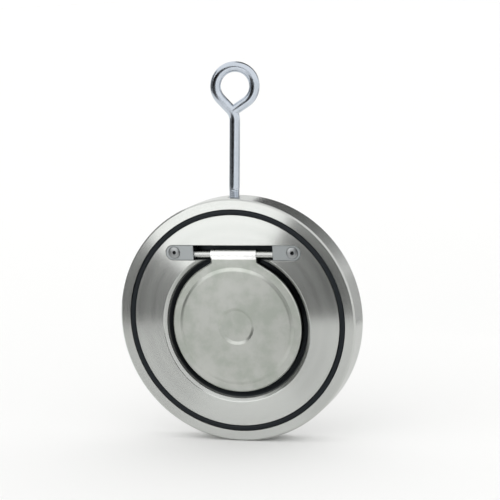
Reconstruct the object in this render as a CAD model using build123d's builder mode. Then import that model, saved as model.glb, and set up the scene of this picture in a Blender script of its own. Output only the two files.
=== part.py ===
from build123d import *

import os
from math import cos, radians, sin, tan

# A thin wafer-pattern swing check valve, clamped between two DN 100 pipe flanges.
# Millimetres. +Z points up to the lifting eye, +Y runs from the outlet face to the inlet face,
# +X runs along the hinge, to the right when looking at the outlet face.
# The origin is on the pipe axis, halfway through the body.

# ---- driving dimensions -------------------------------------------------------------------

# Body: a turned disc that sits inside the ring of flange bolts
BODY_DIAMETER = 162.0
BODY_THICKNESS = 20.0
BODY_EDGE_CHAMFER = 1.0

# Face seals: an O-ring in a square groove, the same in both faces
FACE_RING_DIAMETER = 144.6
FACE_RING_SECTION = 3.5
FACE_GROOVE_WIDTH = 3.9
FACE_GROOVE_DEPTH = 2.8

# Flow passage: recess, seat and bore are turned together, a little below the pipe axis
SEAT_CENTRE_Z = -3.6
SEAT_BORE_DIAMETER = 70.0
SEAT_LAND_DIAMETER = 87.0
SEAT_LAND_HEIGHT = 0.5
SEAT_DEPTH = 8.0
RECESS_MOUTH_DIAMETER = 101.6
RECESS_MOUTH_CHAMFER = 1.9
RECESS_FLOOR_DIAMETER = 92.8
INLET_LEAD_IN = 3.0

# Hinge: depths are measured inwards from the outlet face
HINGE_Z = 43.9
HINGE_DEPTH = 4.0
SLOT_CENTRE_Z = 45.4
SLOT_LENGTH = 93.0
SLOT_HEIGHT = 10.0
SLOT_DEPTH = 9.0
SLOT_EDGE_BREAK = 0.25
SHAFT_DIAMETER = 5.0
SHAFT_LENGTH = 69.0
SHAFT_END_CHAMFER = 0.4
SHAFT_RUNNING_GAP = 0.05
SHAFT_END_GAP = 0.5

# Shaft retainers: one block in each end of the slot, flush with the face
RETAINER_INNER_X = 27.3
RETAINER_SIDE_GAP = 0.1
RETAINER_SINK = 0.1
RETAINER_EDGE_BREAK = 0.3

# Retainer screws: M4 countersunk, hexagon socket
SCREW_X = 40.6
SCREW_DIAMETER = 4.0
SCREW_HEAD_DIAMETER = 8.0
SCREW_HEAD_SINK = 0.25
SCREW_LENGTH = 14.0
SCREW_SOCKET = 2.5
SCREW_SOCKET_DEPTH = 1.6
SCREW_CLEARANCE = 0.2
THREAD_GAP = 0.05
TAPPED_HOLE_DEPTH = 15.5

# Flap: a cast plate with a raised pad, a coined centre and a hinge barrel along its neck
FLAP_DIAMETER = 88.5
FLAP_RIM_DEPTH = 0.6
FLAP_THICKNESS = 6.7
FLAP_EDGE_BEVEL = 0.8
PAD_DIAMETER = 78.5
PAD_HEIGHT = 0.8
PAD_SLOPE = 68.0
PAD_EDGE_FILLET = 3.0
COIN_DIAMETER = 24.4
COIN_DEPTH = 1.1
COIN_SLOPE = 60.0
NECK_WIDTH = 31.2
NECK_SHOULDER_Z = 38.7
BARREL_DIAMETER = 7.0

# Flap seal: an O-ring in the back of the flap that closes on the seat land
FLAP_RING_DIAMETER = 79.0
FLAP_RING_SECTION = 3.0
FLAP_GROOVE_WIDTH = 3.3
FLAP_GROOVE_DEPTH = 2.6

# Lifting eye: one length of wire, threaded into the rim and bent round into a loop
WIRE_DIAMETER = 6.9
EYE_RADIUS = 12.6
EYE_HEIGHT = 72.65
EYE_LEAVES_AT = 224.0
EYE_BEND_RADIUS = 10.0
EYE_TAIL_FROM = -55.0
EYE_TAIL_LENGTH = 10.9
BOLT_LEAN = 3.4
BOLT_TURN = 19.0
BOLT_DEPTH = 15.0
BOLT_HOLE_DEPTH = 18.0
BOLT_END_CHAMFER = 0.8

# ---- places worked out from them ----------------------------------------------------------

BODY_RADIUS = BODY_DIAMETER / 2
OUTLET_Y = -BODY_THICKNESS / 2
INLET_Y = BODY_THICKNESS / 2
FACE_RING_RADIUS = FACE_RING_DIAMETER / 2
HINGE_Y = OUTLET_Y + HINGE_DEPTH
SEAT_Y = OUTLET_Y + SEAT_DEPTH
FLAP_BACK_Y = OUTLET_Y + FLAP_RIM_DEPTH + FLAP_THICKNESS
WIRE_RADIUS = WIRE_DIAMETER / 2
PIPE_AXIS = Axis.Y
SEAT_AXIS = Axis((0, 0, SEAT_CENTRE_Z), (0, 1, 0))


def outlet_plane(depth):
    """A plane parallel to the outlet face, at this depth, that looks out of the outlet."""
    return Plane.XZ.offset(-(OUTLET_Y + depth))


def inlet_plane(depth):
    """A plane parallel to the inlet face, at this depth from it, that looks out of the inlet."""
    return Plane(origin=(0, INLET_Y - depth, 0), x_dir=(-1, 0, 0), z_dir=(0, 1, 0))


def bolt_plane():
    """The plane of the eye: its origin is where the stem meets the rim, its Y runs up the stem."""
    stem = Vector(sin(radians(BOLT_LEAN)), 0, cos(radians(BOLT_LEAN)))
    square_on = Plane(origin=(0, 0, BODY_RADIUS), x_dir=(0, 1, 0), z_dir=stem)
    across = square_on.rotated((0, 0, BOLT_TURN - 90)).x_dir
    return Plane(origin=(0, 0, BODY_RADIUS), x_dir=across, z_dir=across.cross(stem))


def is_recess_edge(edge):
    """Whether this edge bounds the recess or the slot, rather than the ring groove or the rim."""
    return (edge @ 0.5).length < FACE_RING_RADIUS - FACE_GROOVE_WIDTH


# ---- valve body ---------------------------------------------------------------------------

with BuildPart() as valve_body:
    with BuildSketch(Plane.XY) as disc_profile:
        with Locations((BODY_RADIUS / 2, 0)):
            Rectangle(BODY_RADIUS, BODY_THICKNESS)
        chamfer(disc_profile.vertices().group_by(Axis.X)[-1], BODY_EDGE_CHAMFER)
        groove_offset = (BODY_THICKNESS - FACE_GROOVE_DEPTH) / 2
        with Locations((FACE_RING_RADIUS, -groove_offset), (FACE_RING_RADIUS, groove_offset)):
            Rectangle(FACE_GROOVE_WIDTH, FACE_GROOVE_DEPTH, mode=Mode.SUBTRACT)
    revolve(axis=PIPE_AXIS)

    with BuildSketch(Plane.XY.offset(SEAT_CENTRE_Z)):
        with BuildLine():
            Polyline(
                (0, OUTLET_Y),
                (RECESS_MOUTH_DIAMETER / 2, OUTLET_Y),
                (RECESS_MOUTH_DIAMETER / 2 - RECESS_MOUTH_CHAMFER, OUTLET_Y + RECESS_MOUTH_CHAMFER),
                (RECESS_FLOOR_DIAMETER / 2, SEAT_Y + SEAT_LAND_HEIGHT),
                (SEAT_LAND_DIAMETER / 2, SEAT_Y + SEAT_LAND_HEIGHT),
                (SEAT_LAND_DIAMETER / 2, SEAT_Y),
                (SEAT_BORE_DIAMETER / 2, SEAT_Y),
                (SEAT_BORE_DIAMETER / 2, INLET_Y - INLET_LEAD_IN),
                (SEAT_BORE_DIAMETER / 2 + INLET_LEAD_IN, INLET_Y),
                (0, INLET_Y),
                close=True,
            )
        make_face()
    revolve(axis=SEAT_AXIS, mode=Mode.SUBTRACT)

    with BuildSketch(outlet_plane(0)):
        with Locations((0, SLOT_CENTRE_Z)):
            SlotOverall(SLOT_LENGTH, SLOT_HEIGHT)
    extrude(amount=-SLOT_DEPTH, mode=Mode.SUBTRACT)
    outlet_faces = valve_body.faces().filter_by(Axis.Y).filter_by_position(Axis.Y, OUTLET_Y, OUTLET_Y)
    recess_edges = outlet_faces.edges().filter_by(is_recess_edge)
    chamfer(recess_edges, SLOT_EDGE_BREAK)

    with BuildSketch(outlet_plane(0)):
        with Locations((-SCREW_X, SLOT_CENTRE_Z), (SCREW_X, SLOT_CENTRE_Z)):
            Circle(SCREW_DIAMETER / 2)
    extrude(amount=-TAPPED_HOLE_DEPTH, mode=Mode.SUBTRACT)

    with Locations(Plane(origin=(0, 0, BODY_RADIUS), z_dir=bolt_plane().y_dir)):
        CounterSinkHole(
            radius=WIRE_RADIUS + THREAD_GAP,
            counter_sink_radius=WIRE_RADIUS + BOLT_END_CHAMFER,
            depth=BOLT_HOLE_DEPTH,
        )

# ---- flap ---------------------------------------------------------------------------------

with BuildPart() as flap:
    with BuildSketch(outlet_plane(FLAP_RIM_DEPTH)):
        with Locations((0, SEAT_CENTRE_Z)):
            Circle(FLAP_DIAMETER / 2)
        with Locations((0, NECK_SHOULDER_Z)):
            Rectangle(NECK_WIDTH, BARREL_DIAMETER, align=(Align.CENTER, Align.MAX))
        make_hull()
        with Locations((0, HINGE_Z)):
            Rectangle(NECK_WIDTH, BARREL_DIAMETER, align=(Align.CENTER, Align.MAX))
    extrude(amount=-FLAP_THICKNESS)
    rim_face = flap.faces().sort_by(Axis.Y)[0]
    chamfer(rim_face.edges(), FLAP_EDGE_BEVEL)

    with BuildSketch(outlet_plane(FLAP_RIM_DEPTH)):
        with Locations((0, SEAT_CENTRE_Z)):
            Circle(PAD_DIAMETER / 2)
    extrude(amount=PAD_HEIGHT, taper=PAD_SLOPE)
    pad_face = flap.faces().sort_by(Axis.Y)[0]
    fillet(pad_face.edges(), PAD_EDGE_FILLET)

    with BuildSketch(outlet_plane(FLAP_RIM_DEPTH - PAD_HEIGHT)):
        with Locations((0, SEAT_CENTRE_Z)):
            Circle(COIN_DIAMETER / 2)
    extrude(amount=-COIN_DEPTH, taper=COIN_SLOPE, mode=Mode.SUBTRACT)

    with BuildSketch(Plane.YZ.offset(-NECK_WIDTH / 2)):
        with Locations((HINGE_Y, HINGE_Z)):
            Circle(BARREL_DIAMETER / 2)
    extrude(amount=NECK_WIDTH)
    with BuildSketch(Plane.YZ.offset(-NECK_WIDTH / 2)):
        with Locations((HINGE_Y, HINGE_Z)):
            Circle(SHAFT_DIAMETER / 2)
    extrude(amount=NECK_WIDTH, mode=Mode.SUBTRACT)

    with BuildSketch(inlet_plane(INLET_Y - FLAP_BACK_Y)):
        with Locations((0, SEAT_CENTRE_Z)):
            Circle((FLAP_RING_DIAMETER + FLAP_GROOVE_WIDTH) / 2)
            Circle((FLAP_RING_DIAMETER - FLAP_GROOVE_WIDTH) / 2, mode=Mode.SUBTRACT)
    extrude(amount=-FLAP_GROOVE_DEPTH, mode=Mode.SUBTRACT)

# ---- hinge shaft --------------------------------------------------------------------------

with BuildPart() as hinge_shaft:
    with BuildSketch(Plane.YZ.offset(-SHAFT_LENGTH / 2)):
        with Locations((HINGE_Y, HINGE_Z)):
            Circle(SHAFT_DIAMETER / 2)
    extrude(amount=SHAFT_LENGTH)
    chamfer(hinge_shaft.edges().filter_by(GeomType.CIRCLE), SHAFT_END_CHAMFER)

# ---- shaft retainers and their screws, one of each at both ends of the slot -----------------


def shaft_retainer(side):
    """The block in one end of the slot, with a blind bore for the shaft; side is -1 or +1."""
    length = SLOT_LENGTH / 2 - RETAINER_INNER_X - RETAINER_SIDE_GAP
    with BuildPart() as retainer:
        with BuildSketch(outlet_plane(RETAINER_SINK)):
            with Locations((0, SLOT_CENTRE_Z)):
                SlotOverall(SLOT_LENGTH - 2 * RETAINER_SIDE_GAP, SLOT_HEIGHT - 2 * RETAINER_SIDE_GAP)
            with Locations((side * (RETAINER_INNER_X + length / 2), SLOT_CENTRE_Z)):
                Rectangle(length, SLOT_HEIGHT, mode=Mode.INTERSECT)
        extrude(amount=RETAINER_SINK - SLOT_DEPTH)
        chamfer(retainer.faces().sort_by(Axis.Y)[0].edges(), RETAINER_EDGE_BREAK)

        with BuildSketch(Plane.YZ.offset(side * RETAINER_INNER_X)):
            with Locations((HINGE_Y, HINGE_Z)):
                Circle(SHAFT_DIAMETER / 2 + SHAFT_RUNNING_GAP)
        bore_depth = SHAFT_LENGTH / 2 - RETAINER_INNER_X + SHAFT_END_GAP
        extrude(amount=side * bore_depth, mode=Mode.SUBTRACT)

        with Locations(outlet_plane(RETAINER_SINK).location * Pos(side * SCREW_X, SLOT_CENTRE_Z)):
            CounterSinkHole(
                radius=SCREW_DIAMETER / 2 + SCREW_CLEARANCE,
                counter_sink_radius=SCREW_HEAD_DIAMETER / 2 + SCREW_CLEARANCE,
                counter_sink_angle=90,
            )
    return retainer


def retainer_screw(side):
    """The countersunk socket screw that holds one retainer down; side is -1 or +1."""
    head_radius = SCREW_HEAD_DIAMETER / 2
    shank_radius = SCREW_DIAMETER / 2 - THREAD_GAP
    end_chamfer = shank_radius / 4
    axis_plane = Plane(origin=(side * SCREW_X, OUTLET_Y + SCREW_HEAD_SINK, SLOT_CENTRE_Z))
    with BuildPart() as screw:
        with BuildSketch(axis_plane):
            with BuildLine():
                Polyline(
                    (0, 0),
                    (head_radius, 0),
                    (shank_radius, head_radius - shank_radius),
                    (shank_radius, SCREW_LENGTH - end_chamfer),
                    (shank_radius - end_chamfer, SCREW_LENGTH),
                    (0, SCREW_LENGTH),
                    close=True,
                )
            make_face()
        revolve(axis=Axis(axis_plane.origin, (0, 1, 0)))
        with BuildSketch(outlet_plane(SCREW_HEAD_SINK)):
            with Locations((side * SCREW_X, SLOT_CENTRE_Z)):
                RegularPolygon(SCREW_SOCKET / 2, 6, major_radius=False)
        extrude(amount=-SCREW_SOCKET_DEPTH, mode=Mode.SUBTRACT)
    return screw


# ---- O-rings ------------------------------------------------------------------------------


def o_ring(diameter, section, y, axis):
    """A ring of round section, its centre line this diameter, round an axis along the pipe."""
    with BuildPart() as ring:
        with BuildSketch(Plane.XY.offset(axis.position.Z)):
            with Locations((diameter / 2, y)):
                Circle(section / 2)
        revolve(axis=axis)
    return ring


face_ring_depth = FACE_GROOVE_DEPTH - FACE_RING_SECTION / 2
outlet_face_ring = o_ring(FACE_RING_DIAMETER, FACE_RING_SECTION, OUTLET_Y + face_ring_depth, PIPE_AXIS)
inlet_face_ring = o_ring(FACE_RING_DIAMETER, FACE_RING_SECTION, INLET_Y - face_ring_depth, PIPE_AXIS)
flap_ring_y = FLAP_BACK_Y - FLAP_GROOVE_DEPTH + FLAP_RING_SECTION / 2
flap_seal_ring = o_ring(FLAP_RING_DIAMETER, FLAP_RING_SECTION, flap_ring_y, SEAT_AXIS)

# ---- lifting eye --------------------------------------------------------------------------

# The wire bends to the left, runs straight up into the loop, turns clockwise round it and comes
# back in a straight tail, whose end is welded to the bend. Angles are anticlockwise from local X.
slant = EYE_LEAVES_AT - 180
loop_start_x = EYE_RADIUS * cos(radians(EYE_LEAVES_AT))
loop_start_y = EYE_HEIGHT + EYE_RADIUS * sin(radians(EYE_LEAVES_AT))
bend_end_x = -EYE_BEND_RADIUS * (1 - cos(radians(slant)))
bend_end_y = loop_start_y - (bend_end_x - loop_start_x) / tan(radians(slant))
bend_start_y = bend_end_y - EYE_BEND_RADIUS * sin(radians(slant))
loop_turn = EYE_TAIL_FROM - EYE_LEAVES_AT

with BuildPart() as eye_bolt:
    with BuildLine(bolt_plane()) as stem_and_loop:
        Line((0, -BOLT_DEPTH), (0, bend_start_y))
        CenterArc((-EYE_BEND_RADIUS, bend_start_y), EYE_BEND_RADIUS, 0, slant)
        Line((bend_end_x, bend_end_y), (loop_start_x, loop_start_y))
        CenterArc((0, EYE_HEIGHT), EYE_RADIUS, EYE_LEAVES_AT, loop_turn)
    wire_path = stem_and_loop.wire()
    with BuildSketch(Plane(origin=wire_path @ 0, z_dir=wire_path % 0)):
        Circle(WIRE_RADIUS)
    sweep(path=wire_path)
    with BuildSketch(Plane(origin=wire_path @ 1, z_dir=wire_path % 1)):
        Circle(WIRE_RADIUS)
    extrude(amount=EYE_TAIL_LENGTH)
    chamfer(eye_bolt.edges().filter_by(GeomType.CIRCLE).sort_by(Axis.Z)[0], BOLT_END_CHAMFER)

# ---- one STEP file for each piece -----------------------------------------------------------

os.makedirs("parts", exist_ok=True)
pieces = {
    "valve_body": valve_body,
    "flap": flap,
    "flap_seal_ring": flap_seal_ring,
    "hinge_shaft": hinge_shaft,
    "left_shaft_retainer": shaft_retainer(-1),
    "right_shaft_retainer": shaft_retainer(1),
    "left_retainer_screw": retainer_screw(-1),
    "right_retainer_screw": retainer_screw(1),
    "outlet_face_ring": outlet_face_ring,
    "inlet_face_ring": inlet_face_ring,
    "eye_bolt": eye_bolt,
}
for piece_name, piece in pieces.items():
    piece.part.label = piece_name
    export_step(piece.part, f"parts/{piece_name}.step")
    print(piece_name, round(piece.part.volume, 1), "mm3")
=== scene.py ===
"""Looks of a thin wafer swing check valve: a turned stainless disc, its cast flap and its wire eye.

Metres. +Z points up to the lifting eye and +Y runs from the outlet face to the inlet face.
"""

import logging
import math
from dataclasses import dataclass, field
from enum import Enum
from typing import Optional, Union

import bmesh
import bpy
from bmesh.types import BMEdge, BMesh, BMVert
from bpy.types import Material, Node, NodeSocket, NodeTree, Object
from mathutils import Matrix, Vector


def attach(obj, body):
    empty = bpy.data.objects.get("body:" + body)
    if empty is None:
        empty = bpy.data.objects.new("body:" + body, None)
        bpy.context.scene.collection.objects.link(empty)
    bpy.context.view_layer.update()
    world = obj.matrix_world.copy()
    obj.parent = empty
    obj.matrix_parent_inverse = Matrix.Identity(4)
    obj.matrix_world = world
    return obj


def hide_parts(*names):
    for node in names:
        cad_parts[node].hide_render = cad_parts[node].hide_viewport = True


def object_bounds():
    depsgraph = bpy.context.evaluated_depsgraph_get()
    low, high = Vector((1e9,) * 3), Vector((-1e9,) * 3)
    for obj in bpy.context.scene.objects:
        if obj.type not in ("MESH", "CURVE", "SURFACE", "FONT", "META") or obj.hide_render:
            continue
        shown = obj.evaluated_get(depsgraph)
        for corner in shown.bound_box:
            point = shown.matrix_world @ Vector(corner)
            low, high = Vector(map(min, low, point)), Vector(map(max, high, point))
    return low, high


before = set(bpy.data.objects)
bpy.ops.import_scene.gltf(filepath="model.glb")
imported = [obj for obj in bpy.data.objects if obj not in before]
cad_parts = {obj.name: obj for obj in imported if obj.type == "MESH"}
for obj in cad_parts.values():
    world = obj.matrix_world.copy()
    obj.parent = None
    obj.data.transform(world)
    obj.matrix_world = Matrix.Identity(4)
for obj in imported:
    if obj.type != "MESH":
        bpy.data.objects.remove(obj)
CAD_LOW, CAD_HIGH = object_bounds()

MM = 0.001
OUTLET_FACE = -10.0 * MM
INWARD = Vector((0.0, 1.0, 0.0))  # from the outlet face to the inlet face
FIXED_BODY = "body"  # the disc and all that doesn't swing with the flap
SHARP_ANGLE = math.radians(35.0)  # an edge that turns further stays sharp
SMOOTH_STEP = {"interpolation_type": "SMOOTHSTEP"}
TO_WORLD = {"vector_type": "VECTOR", "convert_from": "OBJECT", "convert_to": "WORLD"}
NOISE_LOW, NOISE_HIGH = 0.3, 0.7  # most of a noise pattern's values lie between these
WHITE = (1.0, 1.0, 1.0, 1.0)
LOG = logging.getLogger("wafer_check_valve")

Colour = tuple[float, float, float, float]
SocketValue = Union[Node, NodeSocket, float, tuple[float, ...]]


class Slot(Enum):
    """The parts list's finishes for the pieces that are built here."""

    SCREW = "screw_stainless"
    WIRE = "zinc_plated_wire"


# ---- small tools ----------------------------------------------------------------------------


def linear(hex_colour: str) -> Colour:
    """Turns an sRGB hex colour into linear light.

    Args:
        hex_colour: The colour as "#rrggbb".

    Returns:
        Linear red, green, blue, and an alpha of 1.
    """
    channels = [int(hex_colour[i : i + 2], 16) / 255 for i in (1, 3, 5)]
    light = [c / 12.92 if c <= 0.04045 else ((c + 0.055) / 1.055) ** 2.4 for c in channels]
    return (light[0], light[1], light[2], 1.0)


def add_node(
    tree: NodeTree,
    kind: str,
    inputs: Optional[dict[Union[str, int], SocketValue]] = None,
    **settings: str,
) -> Node:
    """Adds a shader node with its settings, and sets or links its inputs.

    Args:
        tree: The node tree to add to.
        kind: The node's type name without "ShaderNode".
        inputs: Input name or number to a constant, to the output that feeds it, or to the node
            whose first output feeds it.
        **settings: Attributes of the node, such as operation.

    Returns:
        The new node.
    """
    node = tree.nodes.new("ShaderNode" + kind)
    for name, value in settings.items():
        setattr(node, name, value)
    for name, value in (inputs or {}).items():
        fed = value.outputs[0] if isinstance(value, Node) else value
        if isinstance(fed, NodeSocket):
            tree.links.new(fed, node.inputs[name])
        else:
            node.inputs[name].default_value = fed
    return node


def new_material(name: str) -> tuple[Material, NodeTree]:
    """Makes an empty node material.

    Args:
        name: The material's name.

    Returns:
        The material and its empty node tree.
    """
    material = bpy.data.materials.new(name)
    material.use_nodes = True
    material.node_tree.nodes.clear()
    return material, material.node_tree


def new_piece(name: str, bm: BMesh, material: Material) -> Object:
    """Turns a bmesh into a finished object at the origin.

    Args:
        name: The piece's name.
        bm: The bmesh, which is freed.
        material: The finish of the whole piece.

    Returns:
        The new object, linked into the scene.
    """
    mesh = bpy.data.meshes.new(name)
    bm.to_mesh(mesh)
    bm.free()
    mesh.shade_smooth()
    mesh.set_sharp_from_angle(angle=SHARP_ANGLE)
    mesh.materials.append(material)
    piece = bpy.data.objects.new(name, mesh)
    bpy.context.scene.collection.objects.link(piece)
    return piece


def place(piece: Object, node: str) -> Object:
    """Rides a piece on the fixed body, in place of its CAD node.

    Args:
        piece: The piece.
        node: The CAD node that it stands for.

    Returns:
        The piece.
    """
    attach(piece, FIXED_BODY)
    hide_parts(node)
    LOG.info("%s: %d faces, rides on %s", piece.name, len(piece.data.polygons), FIXED_BODY)
    return piece


def dress(node: str, material: Material) -> None:
    """Gives a CAD node its finish.

    Args:
        node: The CAD node's name.
        material: The finish.
    """
    for material_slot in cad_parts[node].material_slots:
        material_slot.material = material
    LOG.info("%s: %s", node, material.name)


# ---- finishes -------------------------------------------------------------------------------


@dataclass(frozen=True)
class TurnedSteel:
    """Stainless steel turned on a lathe: fine rings that fan the light out across the cut.

    The eye sees bright and dark sectors that meet on radii, and faint rings where the tool's
    feed marks vary. Inside the recess and the hinge slot the cut is rougher, and its colour is
    darkened to nearly black as painted shade.
    """

    name: str = "turned_stainless_steel"
    colour: str = "#c5c7c4"
    # painted shade: the colour of the recess and the hinge slot
    recess_shade_colour: str = "#3c4043"
    roughness: float = 0.24
    feed_variation: float = 0.015  # of the roughness, from one band of rings to the next
    rough_cut_roughness: float = 0.5
    anisotropy: float = 1.0
    ring_pitch: float = 0.9 * MM  # the real feed is 0.2 mm, too fine to show, so drawn coarser
    band_pitch: float = 8.1 * MM
    groove_depth: float = 0.02 * MM
    facet_tilt: float = 0.035
    # the painted shade and the rougher cut both lie between these bounds
    shade_and_rough_cut_from: float = OUTLET_FACE + 1.7 * MM
    shade_and_rough_cut_full: float = OUTLET_FACE + 4.6 * MM
    shade_and_rough_cut_to: float = OUTLET_FACE + 9.2 * MM
    shade_and_rough_cut_end: float = OUTLET_FACE + 9.3 * MM
    shade_and_rough_cut_radius: float = 62.0 * MM
    shade_and_rough_cut_edge: float = 63.0 * MM

    def build(self) -> Material:
        """Makes the material.

        Returns:
            The material.
        """
        material, tree = new_material(self.name)
        position = add_node(tree, "TexCoord").outputs["Object"]
        in_plane = add_node(
            tree, "VectorMath", {0: position, 1: (1.0, 0.0, 1.0)}, operation="MULTIPLY"
        )
        radius = add_node(tree, "VectorMath", {0: in_plane}, operation="LENGTH").outputs["Value"]
        outward = add_node(tree, "VectorMath", {0: in_plane}, operation="NORMALIZE")
        along_cut = add_node(
            tree, "VectorMath", {0: outward, 1: tuple(INWARD)}, operation="CROSS_PRODUCT"
        )
        outward_world = add_node(tree, "VectorTransform", {0: outward}, **TO_WORLD)
        along_world = add_node(tree, "VectorTransform", {0: along_cut}, **TO_WORLD)
        true_normal = add_node(tree, "NewGeometry").outputs["Normal"]
        across_cut = add_node(
            tree, "VectorMath", {0: true_normal, 1: along_world}, operation="CROSS_PRODUCT"
        )

        # The tool leaves each ring with its longer side facing outwards, so the surface leans out.
        lean = add_node(
            tree, "VectorMath", {0: outward_world, "Scale": self.facet_tilt}, operation="SCALE"
        )
        leaning = add_node(tree, "VectorMath", {0: true_normal, 1: lean}, operation="ADD")
        leaning = add_node(tree, "VectorMath", {0: leaning}, operation="NORMALIZE")
        rings = add_node(
            tree,
            "TexNoise",
            {"W": radius, "Scale": 1 / self.ring_pitch, "Detail": 3.0, "Roughness": 0.7},
            noise_dimensions="1D",
        )
        grooves = add_node(
            tree,
            "Bump",
            {"Height": rings, "Strength": 0.25, "Distance": self.groove_depth, "Normal": leaning},
        )

        # The painted shade and the rougher cut start below the outlet face, end at the seat and
        # stay inside the ring.
        depth = add_node(tree, "SeparateXYZ", {"Vector": position}).outputs["Y"]
        shade_and_rough_cut = add_node(
            tree,
            "MapRange",
            {"Value": depth, "From Min": self.shade_and_rough_cut_from, "From Max": self.shade_and_rough_cut_full},
            **SMOOTH_STEP,
        )
        for value, none_from, full_to in (
            (depth, self.shade_and_rough_cut_end, self.shade_and_rough_cut_to),
            (radius, self.shade_and_rough_cut_edge, self.shade_and_rough_cut_radius),
        ):
            limit = add_node(
                tree,
                "MapRange",
                {"Value": value, "From Min": none_from, "From Max": full_to},
                **SMOOTH_STEP,
            )
            shade_and_rough_cut = add_node(tree, "Math", {0: shade_and_rough_cut, 1: limit}, operation="MULTIPLY")
        # Painted shade: the recess and the hinge slot are darkened to nearly black.
        colour = add_node(
            tree,
            "MixRGB",
            {
                "Fac": shade_and_rough_cut,
                "Color1": linear(self.colour),
                "Color2": linear(self.recess_shade_colour),
            },
        )
        bands = add_node(
            tree,
            "TexNoise",
            {"W": radius, "Scale": 1 / self.band_pitch, "Detail": 2.0},
            noise_dimensions="1D",
        )
        feed = add_node(
            tree,
            "MapRange",
            {
                "Value": bands,
                "From Min": NOISE_LOW,
                "From Max": NOISE_HIGH,
                "To Min": self.roughness - self.feed_variation,
                "To Max": self.roughness + self.feed_variation,
            },
            **SMOOTH_STEP,
        )
        rougher = add_node(
            tree,
            "MapRange",
            {"Value": shade_and_rough_cut, "To Max": self.rough_cut_roughness - self.roughness},
            **SMOOTH_STEP,
        )
        roughness = add_node(tree, "Math", {0: feed, 1: rougher}, operation="ADD")
        shader = add_node(
            tree,
            "BsdfPrincipled",
            {
                "Base Color": colour,
                "Metallic": 1.0,
                "Roughness": roughness,
                "Anisotropic": self.anisotropy,
                "Tangent": across_cut,
                "Normal": grooves,
            },
        )
        add_node(tree, "OutputMaterial", {"Surface": shader})
        return material


@dataclass(frozen=True)
class CastSteel:
    """Cast stainless steel, blasted: an even satin grey with a fine grain and soft clouds.

    The eye sees faint clouds where the casting skin varies, a bright barrel that is machined
    after casting, and a side wall whose colour is darkened as painted shade.
    """

    name: str = "blasted_cast_stainless_steel"
    colour: str = "#c2c4bf"
    cloud_colour: str = "#b1b6ae"
    barrel_colour: str = "#f6f6f5"
    # painted shade: the colour of the flap's side wall
    wall_shade_colour: str = "#3e4140"
    roughness: float = 0.37
    cloud_variation: float = 0.05  # of the roughness
    barrel_roughness: float = 0.25
    grain: float = 0.5 * MM
    grain_depth: float = 0.03 * MM
    cloud: float = 17.0 * MM
    cloud_edges: tuple[float, float] = (0.35, 0.65)  # of the pattern's value
    barrel_from: float = 40.6 * MM
    barrel_full: float = 41.4 * MM
    wall_from: float = OUTLET_FACE + 2.0 * MM
    wall_full: float = OUTLET_FACE + 5.0 * MM
    wall_to: float = OUTLET_FACE + 7.25 * MM
    wall_end: float = OUTLET_FACE + 7.29 * MM

    def build(self) -> Material:
        """Makes the material.

        Returns:
            The material.
        """
        material, tree = new_material(self.name)
        position = add_node(tree, "TexCoord").outputs["Object"]
        apart = add_node(tree, "SeparateXYZ", {"Vector": position})
        depth, height = apart.outputs["Y"], apart.outputs["Z"]
        grain, clouds = (
            add_node(
                tree,
                "TexNoise",
                {"Vector": position, "Scale": 1 / size, "Detail": detail, "Roughness": 0.6},
            )
            for size, detail in ((self.grain, 4.0), (self.cloud, 6.0))
        )
        barrel = add_node(
            tree,
            "MapRange",
            {"Value": height, "From Min": self.barrel_from, "From Max": self.barrel_full},
            **SMOOTH_STEP,
        )

        # The painted shade lies on the side wall: below the face's edge, above the seat, off the
        # barrel.
        painted_wall_shade = add_node(
            tree,
            "MapRange",
            {"Value": depth, "From Min": self.wall_from, "From Max": self.wall_full},
            **SMOOTH_STEP,
        )
        for value, none_from, full_to in ((depth, self.wall_end, self.wall_to), (barrel, 1.0, 0.0)):
            limit = add_node(
                tree,
                "MapRange",
                {"Value": value, "From Min": none_from, "From Max": full_to},
                **SMOOTH_STEP,
            )
            painted_wall_shade = add_node(tree, "Math", {0: painted_wall_shade, 1: limit}, operation="MULTIPLY")
        clouded = add_node(
            tree,
            "MapRange",
            {"Value": clouds, "From Min": self.cloud_edges[0], "From Max": self.cloud_edges[1]},
            **SMOOTH_STEP,
        )
        colour: SocketValue = linear(self.colour)
        # The last mix paints shade onto the side wall.
        for mask, over in (
            (clouded, self.cloud_colour),
            (barrel, self.barrel_colour),
            (painted_wall_shade, self.wall_shade_colour),
        ):
            colour = add_node(
                tree, "MixRGB", {"Fac": mask, "Color1": colour, "Color2": linear(over)}
            )
        dull = add_node(
            tree,
            "MapRange",
            {
                "Value": clouds,
                "From Min": NOISE_LOW,
                "From Max": NOISE_HIGH,
                "To Min": self.roughness - self.cloud_variation,
                "To Max": self.roughness + self.cloud_variation,
            },
            **SMOOTH_STEP,
        )
        smoother = add_node(
            tree,
            "MapRange",
            {"Value": barrel, "To Min": 1.0, "To Max": self.barrel_roughness / self.roughness},
            **SMOOTH_STEP,
        )
        roughness = add_node(tree, "Math", {0: dull, 1: smoother}, operation="MULTIPLY")
        skin = add_node(
            tree, "Bump", {"Height": grain, "Strength": 0.35, "Distance": self.grain_depth}
        )
        shader = add_node(
            tree,
            "BsdfPrincipled",
            {"Base Color": colour, "Metallic": 1.0, "Roughness": roughness, "Normal": skin},
        )
        add_node(tree, "OutputMaterial", {"Surface": shader})
        return material


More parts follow.
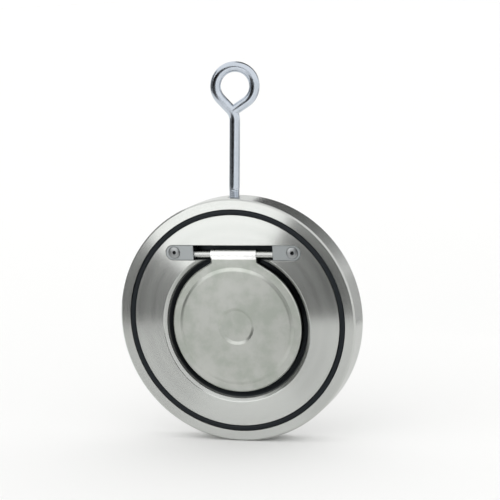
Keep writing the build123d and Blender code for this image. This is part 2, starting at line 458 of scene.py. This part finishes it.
@dataclass(frozen=True)
class SatinSteel:
    """Stainless steel tumbled after forming: an even satin grey with slight clouds and no lay.

    The socket and the head's edge are darkened in the colour as painted shade.
    """

    name: str = "tumbled_stainless_screw"
    colour: str = "#a6a8a8"
    cloud_colour: str = "#979a9b"
    # painted shade in the socket and round the head's edge
    socket_shade_colour: str = "#2b2d2e"
    roughness: float = 0.32
    cloud_variation: float = 0.04  # of the roughness
    grain: float = 0.5 * MM
    grain_depth: float = 0.02 * MM
    cloud: float = 24.0 * MM
    shade_from: float = OUTLET_FACE + 0.28 * MM
    shade_full: float = OUTLET_FACE + 0.43 * MM

    def build(self) -> Material:
        """Makes the material.

        Returns:
            The material.
        """
        material, tree = new_material(self.name)
        position = add_node(tree, "TexCoord").outputs["Object"]
        grain = add_node(
            tree,
            "TexNoise",
            {"Vector": position, "Scale": 1 / self.grain, "Detail": 4.0, "Roughness": 0.6},
        )
        clouds = add_node(
            tree, "TexNoise", {"Vector": position, "Scale": 1 / self.cloud, "Detail": 3.0}
        )
        clouded = add_node(
            tree,
            "MixRGB",
            {"Fac": clouds, "Color1": linear(self.colour), "Color2": linear(self.cloud_colour)},
        )
        roughness = add_node(
            tree,
            "MapRange",
            {
                "Value": clouds,
                "From Min": NOISE_LOW,
                "From Max": NOISE_HIGH,
                "To Min": self.roughness - self.cloud_variation,
                "To Max": self.roughness + self.cloud_variation,
            },
            **SMOOTH_STEP,
        )
        # Painted shade: deeper than the head's face, the colour darkens.
        depth = add_node(tree, "SeparateXYZ", {"Vector": position}).outputs["Y"]
        painted_shade = add_node(
            tree,
            "MapRange",
            {"Value": depth, "From Min": self.shade_from, "From Max": self.shade_full},
            **SMOOTH_STEP,
        )
        shaded = add_node(
            tree, "MixRGB", {"Fac": painted_shade, "Color1": clouded, "Color2": linear(self.socket_shade_colour)}
        )
        skin = add_node(
            tree, "Bump", {"Height": grain, "Strength": 0.35, "Distance": self.grain_depth}
        )
        shader = add_node(
            tree,
            "BsdfPrincipled",
            {"Base Color": shaded, "Metallic": 1.0, "Roughness": roughness, "Normal": skin},
        )
        add_node(tree, "OutputMaterial", {"Surface": shader})
        return material


@dataclass(frozen=True)
class NitrileRubber:
    """Black nitrile rubber, moulded in a polished die.

    The eye sees near black with a dull sheen.
    """

    name: str = "black_nitrile_rubber"
    colour: str = "#030e16"
    roughness: float = 0.5
    ior: float = 1.52
    specular_level: float = 0.28
    grain: float = 0.6 * MM
    grain_depth: float = 0.02 * MM

    def build(self) -> Material:
        """Makes the material.

        Returns:
            The material.
        """
        material, tree = new_material(self.name)
        position = add_node(tree, "TexCoord").outputs["Object"]
        grain = add_node(
            tree, "TexNoise", {"Vector": position, "Scale": 1 / self.grain, "Detail": 2.0}
        )
        skin = add_node(
            tree, "Bump", {"Height": grain, "Strength": 0.2, "Distance": self.grain_depth}
        )
        shader = add_node(
            tree,
            "BsdfPrincipled",
            {
                "Base Color": linear(self.colour),
                "Roughness": self.roughness,
                "IOR": self.ior,
                "Specular IOR Level": self.specular_level,
                "Normal": skin,
            },
        )
        add_node(tree, "OutputMaterial", {"Surface": shader})
        return material


@dataclass(frozen=True)
class GroundSteel:
    """Stainless steel ground or milled along one direction: fine straight scratches.

    The eye sees a satin grey whose highlights are drawn out across the scratches.
    """

    name: str = "milled_stainless_steel"
    colour: str = "#9a9e9f"
    roughness: float = 0.36
    scratch_variation: float = 0.04  # of the roughness
    anisotropy: float = 0.6
    spread: tuple[float, float, float] = (0.0, 0.0, 1.0)  # across the scratches
    scratch_pitch: float = 0.25 * MM  # real scratches are finer, so they are drawn coarser to show
    scratch_depth: float = 0.012 * MM
    scratch_stretch: float = 0.04  # the pattern's scale along the scratches over that across them

    def build(self) -> Material:
        """Makes the material.

        Returns:
            The material.
        """
        material, tree = new_material(self.name)
        position = add_node(tree, "TexCoord").outputs["Object"]
        stretch = tuple(1.0 if part else self.scratch_stretch for part in self.spread)
        drawn_out = add_node(tree, "VectorMath", {0: position, 1: stretch}, operation="MULTIPLY")
        scratches = add_node(
            tree, "TexNoise", {"Vector": drawn_out, "Scale": 1 / self.scratch_pitch, "Detail": 3.0}
        )
        bump = add_node(
            tree, "Bump", {"Height": scratches, "Strength": 0.3, "Distance": self.scratch_depth}
        )
        roughness = add_node(
            tree,
            "MapRange",
            {
                "Value": scratches,
                "From Min": NOISE_LOW,
                "From Max": NOISE_HIGH,
                "To Min": self.roughness - self.scratch_variation,
                "To Max": self.roughness + self.scratch_variation,
            },
            **SMOOTH_STEP,
        )
        spread_world = add_node(tree, "VectorTransform", {0: self.spread}, **TO_WORLD)
        shader = add_node(
            tree,
            "BsdfPrincipled",
            {
                "Base Color": linear(self.colour),
                "Metallic": 1.0,
                "Roughness": roughness,
                "Anisotropic": self.anisotropy,
                "Tangent": spread_world,
                "Normal": bump,
            },
        )
        add_node(tree, "OutputMaterial", {"Surface": shader})
        return material


@dataclass(frozen=True)
class ZincPlate:
    """Drawn steel wire with bright zinc plating.

    The eye sees a smooth mirror, a little blue, that faint clouds and dings break up.
    """

    name: str = "bright_zinc_plated_wire"
    colour: str = "#ccd2db"
    cloud_colour: str = "#bac3cd"
    smoothest: float = 0.18
    roughest: float = 0.27
    cloud: float = 6.0 * MM
    ding: float = 1.5 * MM
    ding_depth: float = 0.05 * MM

    def build(self) -> Material:
        """Makes the material.

        Returns:
            The material.
        """
        material, tree = new_material(self.name)
        position = add_node(tree, "TexCoord").outputs["Object"]
        clouds, dings = (
            add_node(tree, "TexNoise", {"Vector": position, "Scale": 1 / size, "Detail": detail})
            for size, detail in ((self.cloud, 4.0), (self.ding, 3.0))
        )
        colour = add_node(
            tree,
            "MixRGB",
            {"Fac": clouds, "Color1": linear(self.colour), "Color2": linear(self.cloud_colour)},
        )
        roughness = add_node(
            tree,
            "MapRange",
            {
                "Value": clouds,
                "From Min": NOISE_LOW,
                "From Max": NOISE_HIGH,
                "To Min": self.smoothest,
                "To Max": self.roughest,
            },
            **SMOOTH_STEP,
        )
        bump = add_node(
            tree, "Bump", {"Height": dings, "Strength": 0.3, "Distance": self.ding_depth}
        )
        shader = add_node(
            tree,
            "BsdfPrincipled",
            {"Base Color": colour, "Metallic": 1.0, "Roughness": roughness, "Normal": bump},
        )
        add_node(tree, "OutputMaterial", {"Surface": shader})
        return material


@dataclass(frozen=True)
class FloorPaint:
    """Matte floor paint of the set: the eye sees an even, nearly white floor with no gloss."""

    name: str = "pale_floor_paint"
    colour: str = "#f3f3f2"
    roughness: float = 0.9

    def build(self) -> Material:
        """Makes the material.

        Returns:
            The material.
        """
        material, tree = new_material(self.name)
        shader = add_node(
            tree,
            "BsdfPrincipled",
            {"Base Color": linear(self.colour), "Roughness": self.roughness},
        )
        add_node(tree, "OutputMaterial", {"Surface": shader})
        return material


# ---- sub-assemblies -------------------------------------------------------------------------


def grow(bm: BMesh, ring: list[BMEdge], offset: Vector, scale: float = 1.0) -> list[BMEdge]:
    """Extrudes a closed ring of edges and moves and scales the new ring about its centre.

    Args:
        bm: The bmesh.
        ring: The ring's edges.
        offset: How far the new ring moves.
        scale: The new ring's size over the old one's.

    Returns:
        The new ring's edges.
    """
    made = bmesh.ops.extrude_edge_only(bm, edges=ring)["geom"]
    verts = [v for v in made if isinstance(v, BMVert)]
    centre = sum((v.co for v in verts), Vector()) / len(verts)
    bmesh.ops.scale(
        bm, vec=(scale, scale, scale), space=Matrix.Translation(-centre), verts=verts
    )
    bmesh.ops.translate(bm, vec=offset, verts=verts)
    return [e for e in made if isinstance(e, BMEdge)]


def turn(
    bm: BMesh, ring: list[BMEdge], centre: Vector, axis: Vector, angle: float, steps: int
) -> list[BMEdge]:
    """Sweeps a ring of edges round an axis.

    Args:
        bm: The bmesh.
        ring: The ring's edges.
        centre: A point on the axis.
        axis: The axis's direction.
        angle: How far to turn, in radians.
        steps: The number of steps.

    Returns:
        The last ring's edges.
    """
    swept = bmesh.ops.spin(
        bm,
        geom=ring,
        cent=centre,
        axis=axis,
        angle=angle,
        steps=steps,
        use_duplicate=False,
        use_merge=False,
    )
    return [e for e in swept["geom_last"] if isinstance(e, BMEdge)]


def close_ring(bm: BMesh, ring: list[BMEdge]) -> None:
    """Closes a ring of edges with one flat face."""
    bmesh.ops.contextual_create(bm, geom=ring)


def weld(piece: Object, other: Object) -> None:
    """Joins another solid to a piece and removes what lies inside.

    Args:
        piece: The piece that stays.
        other: The solid that becomes part of it.
    """
    union = piece.modifiers.new("weld", "BOOLEAN")
    union.operation = "UNION"
    union.solver = "EXACT"
    union.object = other
    bpy.context.view_layer.update()
    ready = piece.evaluated_get(bpy.context.evaluated_depsgraph_get())
    joined = bpy.data.meshes.new_from_object(ready)
    piece.modifiers.clear()
    piece.data = joined
    joined.set_sharp_from_angle(angle=SHARP_ANGLE)
    bpy.data.objects.remove(other)


@dataclass
class WireEye:
    """The lifting eye: one length of wire, threaded at its foot and bent round into a loop.

    The wire bends to the left, runs straight up into the loop, turns clockwise round it and comes
    back in a straight tail that is welded to the bend. It is built upright in the local XY plane,
    with its foot at the origin and its axis on local Y.
    """

    wire_radius: float = 3.45 * MM
    foot: Vector = field(default_factory=lambda: Vector((0.0, 0.0, 81.0 * MM)))
    lean: float = math.radians(3.4)
    swing: float = math.radians(19.0)
    depth: float = 15.0 * MM
    end_chamfer: float = 0.8 * MM
    eye_height: float = 72.65 * MM
    eye_radius: float = 12.6 * MM
    bend_radius: float = 10.0 * MM
    leaves_at: float = math.radians(224.0)
    tail_from: float = math.radians(-55.0)
    tail_length: float = 10.9 * MM
    thread_pitch: float = 1.25 * MM
    thread_depth: float = 0.5 * MM
    thread_top: float = 6.2 * MM
    thread_fade: float = 1.5  # pitches over which the groove runs out
    groove_width: float = 0.8  # of the pitch
    rows_per_pitch: int = 8
    stem_rows: int = 24
    bend_steps: int = 18
    loop_steps: int = 96
    segments: int = 48

    def stand(self) -> Matrix:
        """Gives the eye's place on the rim.

        Returns:
            The matrix from the eye's own axes to the valve's.
        """
        stem = Vector((math.sin(self.lean), 0.0, math.cos(self.lean)))
        across = math.sin(self.swing) * INWARD - math.cos(self.swing) * stem.cross(INWARD)
        turned = Matrix((across, stem, across.cross(stem))).transposed()
        return Matrix.Translation(self.foot) @ turned.to_4x4()

    def on_loop(self, angle: float) -> Vector:
        """Gives a point on the middle of the loop's wire.

        Args:
            angle: The point's angle, anticlockwise from local X.

        Returns:
            The point.
        """
        spoke = Vector((math.cos(angle), math.sin(angle), 0.0))
        return Vector((0.0, self.eye_height, 0.0)) + self.eye_radius * spoke

    def cut_thread(self, bm: BMesh) -> None:
        """Presses a helical groove into the foot, which fades out towards the plain wire.

        Args:
            bm: The foot, as rows of rings on local Y.
        """
        fade = self.thread_fade * self.thread_pitch
        for vert in bm.verts:
            x, y, z = vert.co
            depth = self.thread_depth * min(1.0, max(0.0, (self.thread_top - y) / fade))
            phase = (y / self.thread_pitch - math.atan2(z, x) / math.tau) % 1.0
            groove = max(0.0, 1.0 - 2 * abs(phase - 0.5) / self.groove_width)
            shrink = 1 - depth * groove / self.wire_radius
            vert.co = Vector((x * shrink, y, z * shrink))

    def build_stem_and_loop(self) -> BMesh:
        """Sweeps the wire from its threaded foot up round the loop, and closes it there.

        Returns:
            The bmesh.
        """
        bm = bmesh.new()
        up = Vector((0.0, 1.0, 0.0))
        outward = Vector((0.0, 0.0, 1.0))
        end_radius = self.wire_radius - self.end_chamfer
        lie_flat = Matrix.Translation(-self.depth * up) @ Matrix.Rotation(-math.pi / 2, 4, "X")
        bmesh.ops.create_circle(bm, segments=self.segments, radius=end_radius, matrix=lie_flat)
        ring = list(bm.edges)
        close_ring(bm, ring)
        ring = grow(bm, ring, up * self.end_chamfer, self.wire_radius / end_radius)
        row = self.thread_pitch / self.rows_per_pitch
        rows = round((self.thread_top + self.depth - self.end_chamfer) / row)
        for _ in range(rows):
            ring = grow(bm, ring, up * row)
        self.cut_thread(bm)

        slant = self.leaves_at - math.pi
        loop_start = self.on_loop(self.leaves_at)
        bend_end_x = -self.bend_radius * (1 - math.cos(slant))
        bend_end_y = loop_start.y - (bend_end_x - loop_start.x) / math.tan(slant)
        bend_start = bend_end_y - self.bend_radius * math.sin(slant)
        thread_end = rows * row - self.depth + self.end_chamfer
        for _ in range(self.stem_rows):
            ring = grow(bm, ring, up * (bend_start - thread_end) / self.stem_rows)
        bend_centre = Vector((-self.bend_radius, bend_start, 0.0))
        ring = turn(bm, ring, bend_centre, outward, slant, self.bend_steps)
        ring = grow(bm, ring, loop_start - Vector((bend_end_x, bend_end_y, 0.0)))
        loop_centre = Vector((0.0, self.eye_height, 0.0))
        loop_angle = self.tail_from - self.leaves_at
        close_ring(bm, turn(bm, ring, loop_centre, outward, loop_angle, self.loop_steps))
        return bm

    def build_tail(self) -> BMesh:
        """Builds the tail as its own closed rod, from inside the loop to inside the bend.

        Returns:
            The bmesh.
        """
        bm = bmesh.new()
        heading = Vector((math.sin(self.tail_from), -math.cos(self.tail_from), 0.0))
        facing = heading.to_track_quat("Z", "Y").to_matrix().to_4x4()
        start = Matrix.Translation(self.on_loop(self.tail_from)) @ facing
        bmesh.ops.create_circle(
            bm, segments=self.segments, radius=self.wire_radius, matrix=start
        )
        ring = list(bm.edges)
        close_ring(bm, ring)
        close_ring(bm, grow(bm, ring, heading * self.tail_length))
        return bm

    def build(self, finish: Material) -> Object:
        """Builds the wire and welds its tail to the bend.

        Args:
            finish: The plated wire's finish.

        Returns:
            The finished eye.
        """
        solids = []
        for name, bm in (
            ("wire_lifting_eye", self.build_stem_and_loop()),
            ("wire_tail", self.build_tail()),
        ):
            bmesh.ops.transform(bm, matrix=self.stand(), verts=bm.verts)
            bmesh.ops.recalc_face_normals(bm, faces=bm.faces)
            solids.append(new_piece(name, bm, finish))
        eye, tail = solids
        weld(eye, tail)
        return place(eye, "eye_bolt")


@dataclass
class RetainerScrew:
    """A countersunk hexagon socket screw that holds one shaft retainer down."""

    hand: str
    axis_x: float
    axis_z: float = 45.4 * MM
    head_y: float = OUTLET_FACE + 0.25 * MM
    head_radius: float = 4.0 * MM
    shank_radius: float = 1.95 * MM
    length: float = 14.0 * MM
    socket: float = 2.5 * MM
    socket_depth: float = 1.6 * MM
    socket_point: float = 0.4 * MM
    socket_point_scale: float = 0.1
    edge: float = 0.5 * MM
    edge_knee: tuple[float, float] = (0.7, 0.35)  # of the edge, outwards and down
    tip: float = 0.4875 * MM
    segments: int = 48

    def set_radius(self, ring: list[BMEdge], centre: Vector, hexagon: bool) -> None:
        """Moves a ring of edges to the socket's hexagon or to the round edge of the flat head.

        Args:
            ring: The ring's edges, at the height of the head.
            centre: The head's centre.
            hexagon: Whether the ring becomes the socket's hexagon.
        """
        for vert in {v for e in ring for v in e.verts}:
            spoke = vert.co - centre
            within_side = math.atan2(spoke.z, spoke.x) % math.radians(60) - math.radians(30)
            across_flats = self.socket / 2 / math.cos(within_side)
            radius = across_flats if hexagon else self.head_radius - self.edge
            vert.co = centre + spoke.normalized() * radius

    def build(self, finish: Material) -> Object:
        """Builds the head, its socket and the shank.

        Args:
            finish: The screw's finish.

        Returns:
            The finished screw.
        """
        bm = bmesh.new()
        centre = Vector((self.axis_x, self.head_y, self.axis_z))
        face_out = Matrix.Translation(centre) @ Matrix.Rotation(math.pi / 2, 4, "X")
        bmesh.ops.create_circle(bm, segments=self.segments, radius=self.socket, matrix=face_out)
        mouth = list(bm.edges)
        self.set_radius(mouth, centre, hexagon=True)
        bottom = grow(bm, mouth, INWARD * self.socket_depth)
        close_ring(bm, grow(bm, bottom, INWARD * self.socket_point, self.socket_point_scale))

        ring = grow(bm, mouth, Vector())
        self.set_radius(ring, centre, hexagon=False)
        flat = self.head_radius - self.edge
        knee_radius = flat + self.edge * self.edge_knee[0]
        knee_depth = self.edge * self.edge_knee[1]
        cone = self.head_radius - self.shank_radius
        for step, scale in (
            (knee_depth, knee_radius / flat),
            (self.edge - knee_depth, self.head_radius / knee_radius),
            (cone - self.edge, self.shank_radius / self.head_radius),
            (self.length - cone - self.tip, 1.0),
            (self.tip, 1 - self.tip / self.shank_radius),
        ):
            ring = grow(bm, ring, INWARD * step, scale)
        close_ring(bm, ring)
        bmesh.ops.recalc_face_normals(bm, faces=bm.faces)
        piece = new_piece(self.hand + "_socket_screw", bm, finish)
        return place(piece, self.hand + "_retainer_screw")


@dataclass
class TurnedBody:
    """The turned disc with its two face rings, the two shaft retainers and their screws."""

    screws: tuple[RetainerScrew, RetainerScrew] = (
        RetainerScrew("left", -40.6 * MM),
        RetainerScrew("right", 40.6 * MM),
    )

    def dress(self, turned: Material, milled: Material, rubber: Material, screw: Material) -> None:
        """Gives the disc, the rings and the retainers their finishes, and builds the screws.

        Args:
            turned: The disc's finish.
            milled: The retainers' finish.
            rubber: The face rings' finish.
            screw: The screws' finish.
        """
        dress("valve_body", turned)
        for node in ("left_shaft_retainer", "right_shaft_retainer"):
            dress(node, milled)
        for node in ("outlet_face_ring", "inlet_face_ring"):
            dress(node, rubber)
        for each in self.screws:
            each.build(screw)


@dataclass
class CastFlap:
    """The cast flap with its shaft and its seal."""

    def dress(self, cast: Material, ground: Material, rubber: Material) -> None:
        """Gives the flap, its shaft and its seal ring their finishes.

        Args:
            cast: The flap's finish.
            ground: The shaft's finish.
            rubber: The seal ring's finish.
        """
        dress("flap", cast)
        dress("hinge_shaft", ground)
        dress("flap_seal_ring", rubber)


# ---- studio ---------------------------------------------------------------------------------


class Viewers(Enum):
    """Groups of pieces that a card's light can be kept for."""

    BODY = ("valve_body", "left_shaft_retainer", "right_shaft_retainer", "outlet_face_ring")
    FLAP = ("flap", "hinge_shaft")
    SCREWS = ("left_socket_screw", "right_socket_screw")
    WIRE = ("wire_lifting_eye",)


def sight_line(turned: float, raised: float) -> Vector:
    """Gives the direction from the object to a place round it.

    Args:
        turned: How far round from the outlet side the place is, in radians.
        raised: How high it is, in radians.

    Returns:
        The direction.
    """
    level = math.cos(raised)
    return Vector((math.sin(turned) * level, -math.cos(turned) * level, math.sin(raised)))


def reflection_card(name: str, bm: BMesh, shade: float, seen_by: tuple[Viewers, ...]) -> Object:
    """Makes a card that only reflections see.

    Args:
        name: The card's name.
        bm: The card's shape, which is freed.
        shade: How bright it is; the sky is about 1.
        seen_by: The only pieces that see its light; to the others it is black.

    Returns:
        The card.
    """
    material, tree = new_material(name + "_cloth")
    glow = add_node(tree, "Emission", {"Color": WHITE, "Strength": shade})
    add_node(tree, "OutputMaterial", {"Surface": glow})
    card = new_piece(name, bm, material)
    card.visible_camera = False
    card.visible_diffuse = False
    card.visible_shadow = False
    card.visible_transmission = False
    if seen_by:
        receivers = bpy.data.collections.new(name + "_viewers")
        for viewer in (piece for group in seen_by for piece in group.value):
            receivers.objects.link(bpy.data.objects[viewer])
        card.light_linking.receiver_collection = receivers
    return card


@dataclass
class FaceCard:
    """A card in front of the outlet face that only reflections see.

    It is a wedge in the plane that the camera's mirrored line of sight meets, with its point on
    that line, so its edges show on turned steel as straight edges between light and dark.
    """

    name: str
    start: float  # degrees anticlockwise from level, as the camera sees the reflection
    end: float
    shade: float
    seen_by: tuple[Viewers, ...] = ()
    distance: float = 0.40
    point: float = 0.1 * MM
    reach: float = 0.55
    steps: int = 16

    def build(self, eye_point: Vector, right: Vector, up: Vector) -> Object:
        """Builds the card.

        Args:
            eye_point: Where the mirrored line of sight starts, on the outlet face.
            right: The reflection's level direction.
            up: The reflection's upright direction.

        Returns:
            The card.
        """
        sight = right.cross(up)
        turned = Matrix((right, up, sight)).transposed().to_4x4()
        first = math.radians(self.start)
        spoke = Vector((math.cos(first), math.sin(first), 0.0))
        bm = bmesh.new()
        near = bm.verts.new(spoke * self.point)
        far = bm.verts.new(spoke * self.reach)
        bmesh.ops.spin(
            bm,
            geom=[near, far, bm.edges.new((near, far))],
            cent=Vector(),
            axis=Vector((0.0, 0.0, 1.0)),
            angle=math.radians(self.end - self.start),
            steps=self.steps,
            use_duplicate=False,
        )
        hung = Matrix.Translation(eye_point + sight * self.distance) @ turned
        bmesh.ops.transform(bm, matrix=hung, verts=bm.verts)
        return reflection_card(self.name, bm, self.shade, self.seen_by)


@dataclass
class RoundCard:
    """A card on a ball round the object that only reflections see."""

    name: str
    azimuth: tuple[float, float]  # degrees from the outlet side, from one end to the other
    elevation: tuple[float, float]
    shade: float = 0.04
    distance: float = 0.9
    columns: int = 12
    rows: int = 8

    def build(self) -> Object:
        """Builds the card as a patch of the ball.

        Returns:
            The card.
        """
        bm = bmesh.new()
        bmesh.ops.create_grid(bm, x_segments=self.columns, y_segments=self.rows, size=0.5)
        for vert in bm.verts:
            turned, raised = (
                math.radians(low + (part + 0.5) * (high - low))
                for part, (low, high) in zip(vert.co, (self.azimuth, self.elevation))
            )
            vert.co = self.distance * sight_line(turned, raised)
        return reflection_card(self.name, bm, self.shade, ())


@dataclass
class Studio:
    """A pale floor, an even soft sky, cards that only reflections see, and the camera."""

    floor_radius: float = 9.0
    floor_segments: int = 128
    sky_strength: float = 1.12
    view_azimuth: float = math.radians(19.0)
    view_elevation: float = math.radians(11.47)
    view_roll: float = math.radians(3.0)
    view_distance: float = 1.27
    view_depth: float = 50.0
    lens: float = 139.2
    sensor: float = 36.0
    target: Vector = field(default_factory=lambda: Vector((0.0, OUTLET_FACE, 0.0)))
    target_in_frame: tuple[float, float] = (-0.0282, -0.1424)  # right and up, of the frame's width
    face_cards: tuple[FaceCard, ...] = (
        FaceCard("right_card", -12.0, 32.0, 1.25, (Viewers.WIRE,)),
        FaceCard("dark_right_card", 32.0, 62.0, 0.05),
        FaceCard("top_card", 62.0, 140.0, 1.75, (Viewers.BODY, Viewers.FLAP, Viewers.SCREWS)),
        FaceCard("left_card", 140.0, 188.0, 0.10),
    )
    round_cards: tuple[RoundCard, ...] = (
        RoundCard("back_card", (140.0, 192.0), (13.0, 75.0)),
        RoundCard("low_back_card", (110.0, 192.0), (-12.0, 13.0), shade=0.62, distance=0.36),
        RoundCard("far_left_card", (-112.0, -62.0), (-5.0, 45.0), shade=0.16),
    )

    def build_floor(self) -> None:
        """Lays the floor under the disc."""
        bm = bmesh.new()
        bmesh.ops.create_circle(
            bm,
            cap_ends=True,
            segments=self.floor_segments,
            radius=self.floor_radius,
            matrix=Matrix.Translation((0.0, 0.0, CAD_LOW[2])),
        )
        new_piece("floor", bm, FloorPaint().build())

    def build_sky(self) -> None:
        """Makes the even soft sky."""
        world = bpy.data.worlds.new("soft_sky")
        world.use_nodes = True
        tree = world.node_tree
        tree.nodes.clear()
        sky = add_node(tree, "Background", {"Color": WHITE, "Strength": self.sky_strength})
        add_node(tree, "OutputWorld", {"Surface": sky})
        bpy.context.scene.world = world

    def view_axes(self) -> tuple[Vector, Vector, Vector]:
        """Gives the camera's axes as it looks straight at the target.

        Returns:
            Its right, up and backward directions.
        """
        back = sight_line(self.view_azimuth, self.view_elevation)
        level = Vector((math.cos(self.view_azimuth), math.sin(self.view_azimuth), 0.0))
        upright = back.cross(level)
        tilt, straight = math.sin(self.view_roll), math.cos(self.view_roll)
        return straight * level - tilt * upright, straight * upright + tilt * level, back

    def build_cards(self) -> None:
        """Hangs the cards, those in front where the face's reflections meet them."""
        mirror = Vector((1.0, -1.0, 1.0))
        right, up, _ = (axis * mirror for axis in self.view_axes())
        for card in self.face_cards:
            card.build(self.target, right, up)
        for card in self.round_cards:
            card.build()

    def build_camera(self) -> None:
        """Sets the camera up in front of the outlet face, with the target at its place in frame."""
        right, up, back = self.view_axes()
        aimed = Matrix((right, up, back)).transposed()
        slope = self.sensor / self.lens
        to_target = Vector((*(part * slope for part in self.target_in_frame), -1.0))
        recentre = to_target.rotation_difference(Vector((0.0, 0.0, -1.0))).to_matrix()
        data = bpy.data.cameras.new("camera")
        data.lens = self.lens
        data.sensor_width = self.sensor
        data.clip_end = self.view_depth
        camera = bpy.data.objects.new("camera", data)
        stands_at = Matrix.Translation(self.target + back * self.view_distance)
        camera.matrix_world = stands_at @ (aimed @ recentre).to_4x4()
        bpy.context.scene.collection.objects.link(camera)
        bpy.context.scene.camera = camera

    def build(self) -> None:
        """Builds the whole set."""
        self.build_floor()
        self.build_sky()
        self.build_cards()
        self.build_camera()
        bpy.context.scene.view_settings.view_transform = "Standard"


def main() -> None:
    """Builds the valve's looks and the studio."""
    logging.basicConfig(level=logging.INFO, format="%(name)s: %(message)s")
    rubber = NitrileRubber().build()
    turned = TurnedSteel().build()
    milled = GroundSteel().build()
    screw = SatinSteel().build()
    TurnedBody().dress(turned, milled, rubber, screw)
    cast = CastSteel().build()
    ground = GroundSteel(
        "ground_stainless_shaft", "#bcbdbb", roughness=0.25, spread=(1.0, 0.0, 0.0)
    ).build()
    CastFlap().dress(cast, ground, rubber)
    WireEye().build(ZincPlate().build())
    Studio().build()


if __name__ == "__main__":
    main()
